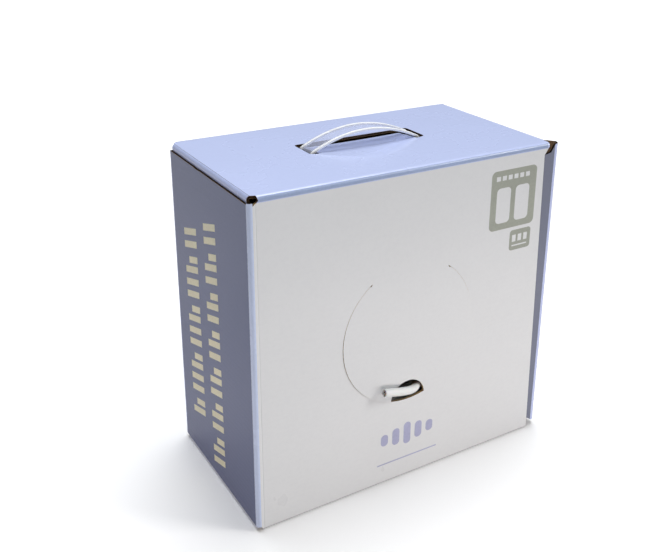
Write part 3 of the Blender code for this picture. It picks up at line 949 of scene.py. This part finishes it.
def build_dust_flap(side, level):
    """A flap on the lid's or bottom's short edge, with its rolled fold."""
    word = level + "_" + ("left" if side < 0 else "right")
    body, node = "dust_" + word, "dust_flap_" + word
    roll = LEFT if side < 0 else -DUST_X
    lean = 0.0065 if side < 0 else 0.0060
    line = [(-INSET_X, HEIGHT), (roll, HEIGHT), (-DUST_X, HEIGHT - lean), (-DUST_X, 0.1781)]
    line = [(x * -side, z if level == "top" else HEIGHT - z) for x, z in line]
    # the line turns left for top-left and bottom-right, and right for the other two
    hand = 1 if (side < 0) == (level == "top") else -1
    route = Fold(1, hand, line, (FOLD_RADIUS, 0.0040))
    low, high = (-0.0568, 0.0540) if side < 0 else (-0.0540, 0.0568)
    cut = route.end[1] + FOLD_MARGIN
    rim = [
        (route.start[0], low - 0.0002), (route.start[0], high + 0.0012),
        (route.end[0], high + 0.0006), (cut, high), (cut, low), (route.end[0], low),
    ]
    rows = steps_between(low, high, 0.008)
    fold = board("dust_fold_" + word, route, [rim], BOARD_LAVENDER, None, cross=rows)
    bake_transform(fold)

    tip, corner = route.length, 0.010
    rim = [(cut, low), *arc((tip - corner, low + corner), corner, -math.pi / 2, 0, 8)]
    rim += [*arc((tip - corner, high - corner), corner, 0, math.pi / 2, 8), (cut, high)]
    flap = board(
        "dust_board_" + word, route, [rim], BOARD_LAVENDER, body, cross=rows, bend=False
    )
    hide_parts(node)


# ------------------------ generic print
BAR_PITCH, BAR_HEIGHT, BAR_SLOPE = 0.0088, 0.0046, 0.0055 / 0.0185


def bar(x, z, width, height):
    return [(x, z), (x + width, z), (x + width, z + height), (x, z + height)]


def build_front_print():
    more = dict(cuts=RIB_CUTS, lift=front_lift)
    plate = rounded(0.0585, 0.1660, 0.0965, 0.2070, 0.0035)
    marks = [bar(0.0625 + 0.0049 * k, 0.2000, 0.0034, 0.0032) for k in range(6)]
    marks += [rounded(x, 0.1705, x + 0.0118, 0.1950, 0.0030) for x in (0.0635, 0.0792)]
    small = rounded(0.0770, 0.1490, 0.0950, 0.1635, 0.0022)
    lines = [bar(x, 0.1550, 0.0032, 0.0050) for x in (0.0792, 0.0841, 0.0890)]
    lines += [bar(0.0792, 0.1518, 0.0130, 0.0010)]
    groups = [[front_loop(plate)] + [front_loop(m) for m in marks]]
    groups += [[front_loop(small)] + [front_loop(m) for m in lines]]
    printing("front_badges", TUBE, groups, BADGE_INK, "carton", **more)

    groups = []
    middle = 0.0340
    for k, height in enumerate((0.0085, 0.0125, 0.0165, 0.0125, 0.0085)):
        x = -0.0215 + 0.0090 * k
        pill = rounded(x, middle - height / 2, x + 0.0056, middle + height / 2, 0.0026)
        groups.append([front_loop(pill)])
    groups.append([front_loop(bar(-0.0240, 0.0150, 0.0480, 0.0009))])
    printing("front_mark", TUBE, groups, MARK_INK, "carton", **more)


def build_lid_wrap_print_and_shade():
    """The darker blue band along the lid's front fold, where the print runs over the edge: its
    darker colour is painted shade where the fold turns to face the front.
    """
    low = TUBE.start[1] + 0.45 * (TUBE.end[1] - TUBE.start[1])
    end = on_front(WRAP_Z + 0.0004)
    band = [(low, -0.1046), (low, 0.1052), (end, 0.1044), (end, -0.1052)]
    printing("lid_wrap_print_and_shade", TUBE, [[band]], WRAP_SHADE_INK, "carton", cuts=TUBE.cuts())


def build_left_print():
    """Slanted bars in two columns, in place of the lettering on the end panel."""
    route = end_route(-1)

    def loop(points):
        return [(route.end[0] + (y - FRONT - FOLD_RADIUS), z) for y, z in points]

    groups = []
    for y, low, high, widths in (
        (-0.0125, 0.0110, 0.1950, (0.0185, 0.0185, 0.0120)),
        (0.0185, 0.0320, 0.1760, (0.0205, 0.0140, 0.0205, 0.0205)),
    ):
        for k in range(int((high - low) / BAR_PITCH)):
            z, width = low + BAR_PITCH * k, widths[k % len(widths)]
            slant = [(y, z + BAR_SLOPE * width), (y + width, z)]
            slant += [(a, b + BAR_HEIGHT) for a, b in reversed(slant)]
            groups.append([loop(slant)])
    printing("left_print", route, groups, CREAM_INK, "left_end", cross=END_ROWS)


# ------------------------ handle
STRAP_HALF, STRAP_RISE, STRAP_SINK, STRAP_Y, STRAP_WIDTH = 0.0410, 0.0093, 0.0012, 0.0035, 0.0160
ARCH_INSET, ANCHOR_DROP, LUG_REACH, LUG_RISE = 0.0017, 0.0092, 0.0092, 0.0006
STRAP_SHOULDER = ((0.0, 0.0030), (0.0001, 0.0022), (0.0004, 0.0015), (0.0009, 0.0009))


def strap_line():
    """The strap's middle line: legs through the lid, rounded shoulders and a flat arch."""
    shoulder = [(STRAP_HALF - inset, HEIGHT - drop) for inset, drop in STRAP_SHOULDER]
    line = [(STRAP_HALF, HEIGHT - 0.0103), (STRAP_HALF, HEIGHT - 0.0060), *shoulder]
    for x in np.linspace(1, -1, 57) * (STRAP_HALF - ARCH_INSET):
        share = 1 - (x / STRAP_HALF) ** 2
        line.append((x, HEIGHT - STRAP_SINK + (STRAP_RISE + STRAP_SINK) * share))
    return line + [(-x, z) for x, z in line[len(shoulder) + 1 :: -1]]


def build_handle():
    line = strap_line()
    rail_width, rail_height = 0.0022, 0.0018
    for side, word in ((-1, "front"), (1, "back")):
        y = STRAP_Y + side * (STRAP_WIDTH - rail_width) / 2
        a, b = rail_width / 2, rail_height / 2
        path = [(x, y, z) for x, z in line]
        section = rounded(-a, -b, a, b, 0.0007, 4)
        sweep("strap_rail_" + word, path, section, RAIL_PLASTIC, "carry_handle")
    half = STRAP_WIDTH / 2 - rail_width + 0.0002
    section = rounded(-half, -0.00042, half, 0.00042, 0.0002, 2)
    path = [(x, STRAP_Y, z) for x, z in line]
    web = sweep("strap_web", path, section, WEB_PLASTIC, "carry_handle")
    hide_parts("carry_handle")
    anchor, lug = Vector((0.0025, 0.0135, 0.0011)), Vector((0.0012, 0.0008, 0.0010))
    for side, word in ((-1, "left"), (1, "right")):
        top = Vector((side * STRAP_HALF, STRAP_Y, HEIGHT - ANCHOR_DROP))
        name, middle = "strap_anchor_" + word, top - Vector((0, 0, anchor.z))
        soft_block(name, middle, anchor, 0.0007, RAIL_PLASTIC, "carry_handle")
        for end, place in ((-1, "front"), (1, "back")):
            name = "strap_lug_%s_%s" % (word, place)
            middle = top + Vector((0, end * LUG_REACH, LUG_RISE))
            soft_block(name, middle, lug, 0.0005, RAIL_PLASTIC, "carry_handle")


# ------------------------ spool
SPOOL_Z, WOUND_HALF = 0.105, 0.0500
SEAL_RADIUS, SEAL_Y, SEAL_HALF = 0.0760, -0.0557, Vector((0.0068, 0.0005, 0.0045))


def helix(name, radius, start):
    """One layer of the winding, 60 points to a turn."""
    turns = 2 * WOUND_HALF / CABLE_DIAMETER
    count = int(turns * 60)
    curve = bpy.data.curves.new(name, "CURVE")
    curve.dimensions = "3D"
    curve.bevel_depth = CABLE_DIAMETER / 2 * 0.995
    curve.bevel_resolution = 2
    curve.use_fill_caps = True
    spline = curve.splines.new("POLY")
    spline.points.add(count)
    for k, point in enumerate(spline.points):
        share = k / count
        a = start + share * turns * math.tau
        y = (2 * share - 1) * WOUND_HALF
        point.co = (radius * math.cos(a), y, SPOOL_Z + radius * math.sin(a), 1.0)
    curve.materials.append(JACKET)
    return add_object(name, curve, "spool")


def ring_solid(name, loop, material, body, steps=96):
    """A ring round the spool's axis: loop is (radius, y) points."""
    bm = bmesh.new()
    rings = []
    for k in range(steps):
        a = math.tau * k / steps
        cos, sin = math.cos(a), math.sin(a)
        rings.append([bm.verts.new((r * cos, y, SPOOL_Z + r * sin)) for r, y in loop])
    skin(bm, rings + rings[:1])
    return add_object(name, finish_mesh(name, bm, (material,)), body)


def build_spool():
    outer = helix("winding_outer_layer", 0.0983, 0.3)
    helix("winding_bore_layer", 0.0520, 1.1)
    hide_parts("cable_winding")
    core = rounded(0.0528, -0.0526, 0.0975, 0.0526, 0.002, 3)
    ring_solid("winding_core", core, JACKET, "spool")
    paints = {"front_cheek": FIBREBOARD, "rear_cheek": FIBREBOARD, "stretch_wrap": FILM}
    paints.update(("tie_band_%d" % (k + 1), BAND) for k in range(4))
    for name, material in paints.items():
        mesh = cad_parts[name].data
        mesh.materials.clear()
        mesh.materials.append(material)
    for k in range(4):
        a = math.radians(45 + 90 * k)
        middle = (math.cos(a) * SEAL_RADIUS, SEAL_Y, SPOOL_Z + math.sin(a) * SEAL_RADIUS)
        seal = soft_block("band_seal_%d" % (k + 1), Vector(), SEAL_HALF, 0.0003, SEAL, None)
        turn = Matrix.Rotation(-a + math.pi / 2, 4, "Y")
        seal.data.transform(Matrix.Translation(middle) @ turn)
        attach(seal, "spool")


# ------------------------ cable tail
def build_tail():
    route = smooth_route(TAIL_ROUTE, 88)
    outer, bore, deep = CABLE_DIAMETER / 2, CABLE_DIAMETER / 2 - 0.0006, 0.0022
    way = route[-1] - route[-2]
    way /= np.linalg.norm(way)
    turns = np.linspace(0, math.tau, 25)[:-1]

    def circle_of(radius):
        return [(radius * math.cos(a), radius * math.sin(a)) for a in turns]

    tip, lip = route[-1], route[-1] - way * 0.0002
    path = np.array([*route[:-1], lip])
    bm = bmesh.new()
    ways = np.gradient(path, axis=0)
    ways /= np.linalg.norm(ways, axis=1)[:, None]
    places = [(p, w, outer) for p, w in zip(path, ways)]
    places += [(tip, way, outer - 0.0001), (tip, way, bore + 0.0001), (lip, way, bore)]
    places += [(tip - way * deep, way, bore)]
    across = np.array((0.0, 0.0, 1.0))
    rings = []
    for point, along, radius in places:
        across = across - along * (across @ along)
        across /= np.linalg.norm(across)
        up = np.cross(across, along)
        rings.append([bm.verts.new(point + across * a + up * b) for a, b in circle_of(radius)])
    skin(bm, rings)
    bm.faces.new(rings[0][::-1])
    # The bore's far end is closed by the near-black face: painted shade.
    bm.faces.new(rings[-1]).material_index = 1
    name = "cable_tail_jacket"
    mesh = finish_mesh(name, bm, (JACKET, SHADE_PAINTED_CORE), 50.0)
    tail = add_object(name, mesh, "carton")
    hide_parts("cable_tail")

    colours = (
        ("blue", srgb(46, 84, 170)), ("orange", srgb(224, 122, 40)), ("green", srgb(44, 140, 74)),
        ("brown", srgb(118, 74, 44)),
    )
    for k, (word, colour) in enumerate(colours):
        light = (*(0.75 + 0.25 * c for c in colour[:3]), 1)
        paint = plastic("insulation_" + word, colour, 0.35)
        pale = plastic("insulation_pale_" + word, light, 0.35)
        for twin, material in ((0, paint), (1, pale)):
            a = math.tau * k / 4 + 0.4
            ring = 0.00118
            b = a + (0.38 if twin else -0.38)
            offset = across * ring * math.cos(b) + np.cross(across, way) * ring * math.sin(b)
            lean = np.cross(way, offset) * 0.10
            begin = route[-1] - way * deep + offset
            stop = route[-1] - way * (0.0004 + 0.0002 * k) + offset + lean
            line = [begin + (stop - begin) * s for s in (0.0, 0.3, 0.6, 0.9, 1.0)]
            end = [stop - way * 0.0001, stop + way * 0.00008]
            for part, run, radius, every, coat in (
                ("conductor", line, 0.00042, 3, material), ("copper", end, 0.0002, 4, COPPER)
            ):
                section = [(radius * math.cos(t), radius * math.sin(t)) for t in turns[::every]]
                name = "%s_%s_%d" % (part, word, twin + 1)
                sweep(name, run, section, coat, "carton", across)


def make_floor():
    bm = bmesh.new()
    bmesh.ops.create_grid(bm, x_segments=2, y_segments=2, size=6.0)
    mesh = bpy.data.meshes.new("floor")
    bm.to_mesh(mesh)
    bm.free()
    paint = Paint("floor_paint", Specular_IOR_Level=0.1, Emission_Strength=0.12)
    paint.shader.inputs["Emission Color"].default_value = (1, 1, 1, 1)
    pale, white = (0.93, 0.93, 0.93, 1), (0.94, 0.94, 0.94, 1)
    paint.colour(paint.ramp(paint.noise(2.0), (0.3, pale), (0.7, white)))
    paint.rough(paint.spread(paint.noise(8.0), 0.85, 0.95))
    bounce = paint.node("ShaderNodeBsdfDiffuse")
    bounce.inputs["Color"].default_value = (0.42, 0.42, 0.43, 1)
    mix = paint.node("ShaderNodeMixShader")
    seen = paint.node("ShaderNodeLightPath").outputs["Is Camera Ray"]
    out = paint.tree.nodes["Material Output"]
    paint.link(seen, mix.inputs["Fac"])
    paint.link(bounce.outputs[0], mix.inputs[1])
    paint.link(paint.shader.outputs[0], mix.inputs[2])
    paint.link(mix.outputs[0], out.inputs["Surface"])
    mesh.materials.append(paint.material)
    floor = bpy.data.objects.new("floor", mesh)
    floor.location.z = -0.0002
    bpy.context.scene.collection.objects.link(floor)


make_camera()
make_studio()
make_floor()
build_tail()
build_front()
build_lid()
build_back_and_bottom()
build_end(-1, "left")
build_end(1, "right")
for end_side in (-1, 1):
    for end_level in ("top", "bottom"):
        build_dust_flap(end_side, end_level)
build_front_print()
build_lid_wrap_print_and_shade()
build_left_print()
build_handle()
build_spool()
